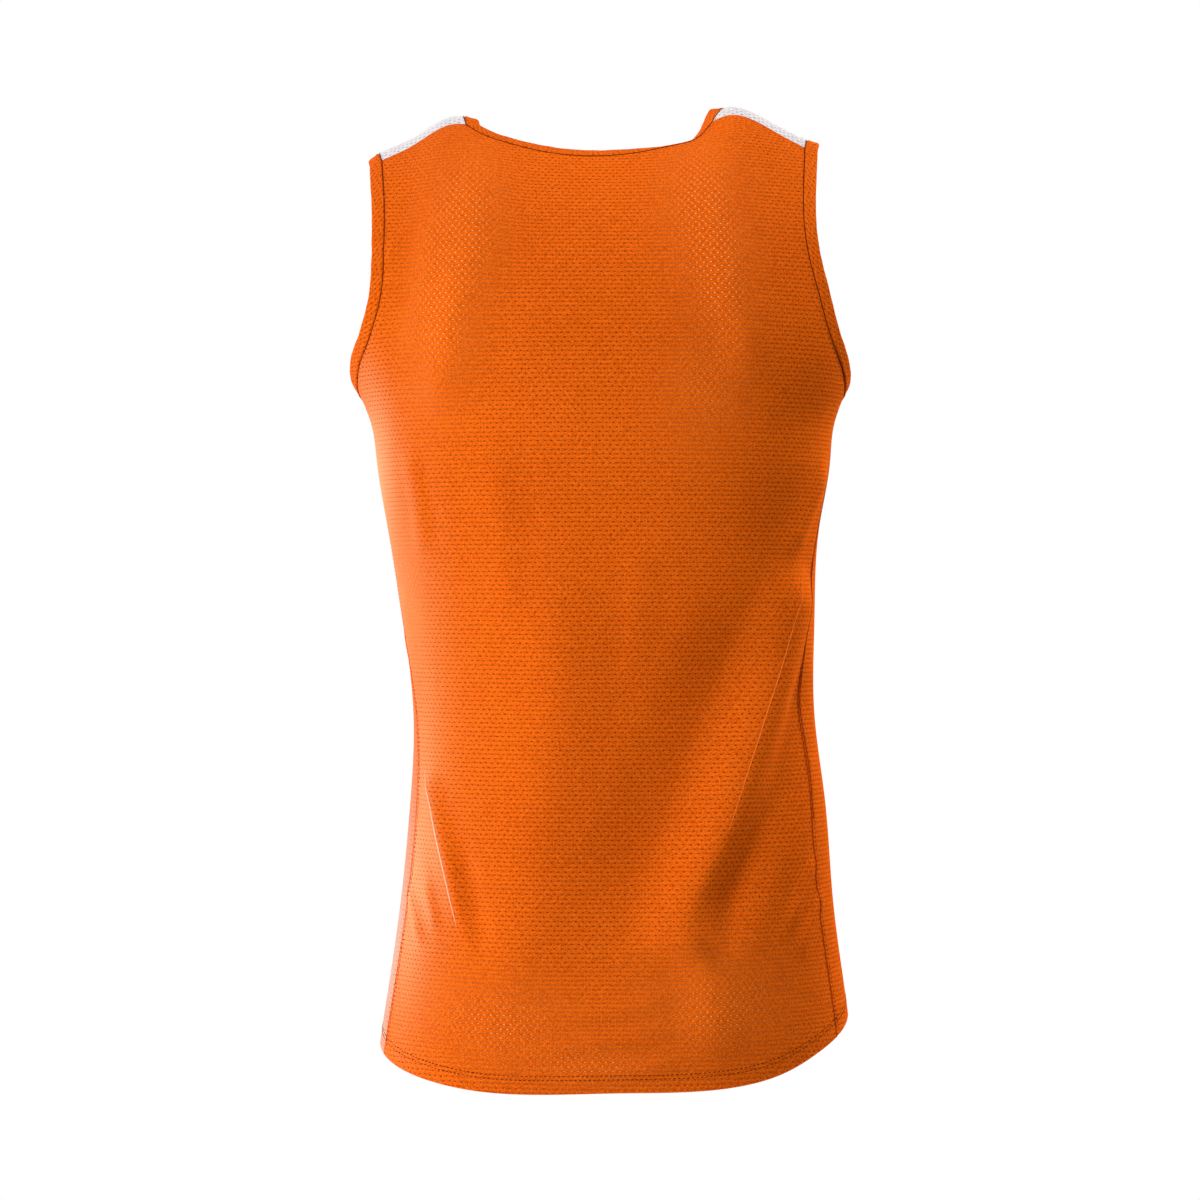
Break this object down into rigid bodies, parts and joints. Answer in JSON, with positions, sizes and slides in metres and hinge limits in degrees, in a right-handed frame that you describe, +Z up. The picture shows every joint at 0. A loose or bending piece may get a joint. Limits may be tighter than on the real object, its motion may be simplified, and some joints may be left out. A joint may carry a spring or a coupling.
{
  "type": "basketball jersey",
  "caption": "Sleeveless mesh sports top, filled out as if worn, with contrast shoulder yokes, bound neck and armholes and a curved turned-up hem.",
  "frame": {"origin": "middle between the two shoulders at mid-shoulder height, where a wearer carries the garment", "axes": "+Z up along the garment's length, +Y towards the wearer's front, +X towards the wearer's right"},
  "size_m": [0.3741, 0.256, 0.7284],
  "materials": {
    "orange_mesh": "soft knitted mesh with a slight sheen",
    "white_mesh": "soft knitted mesh with a slight sheen",
    "orange_binding": "folded self-fabric mesh, stitched"
  },
  "bodies": {
    "root": {"back_panel": "orange_mesh", "front_panel": "orange_mesh", "left_yoke": "white_mesh", "right_yoke": "white_mesh", "neck_band": "orange_binding", "left_armhole_band": "orange_binding", "right_armhole_band": "orange_binding"}
  },
  "joints": []
}
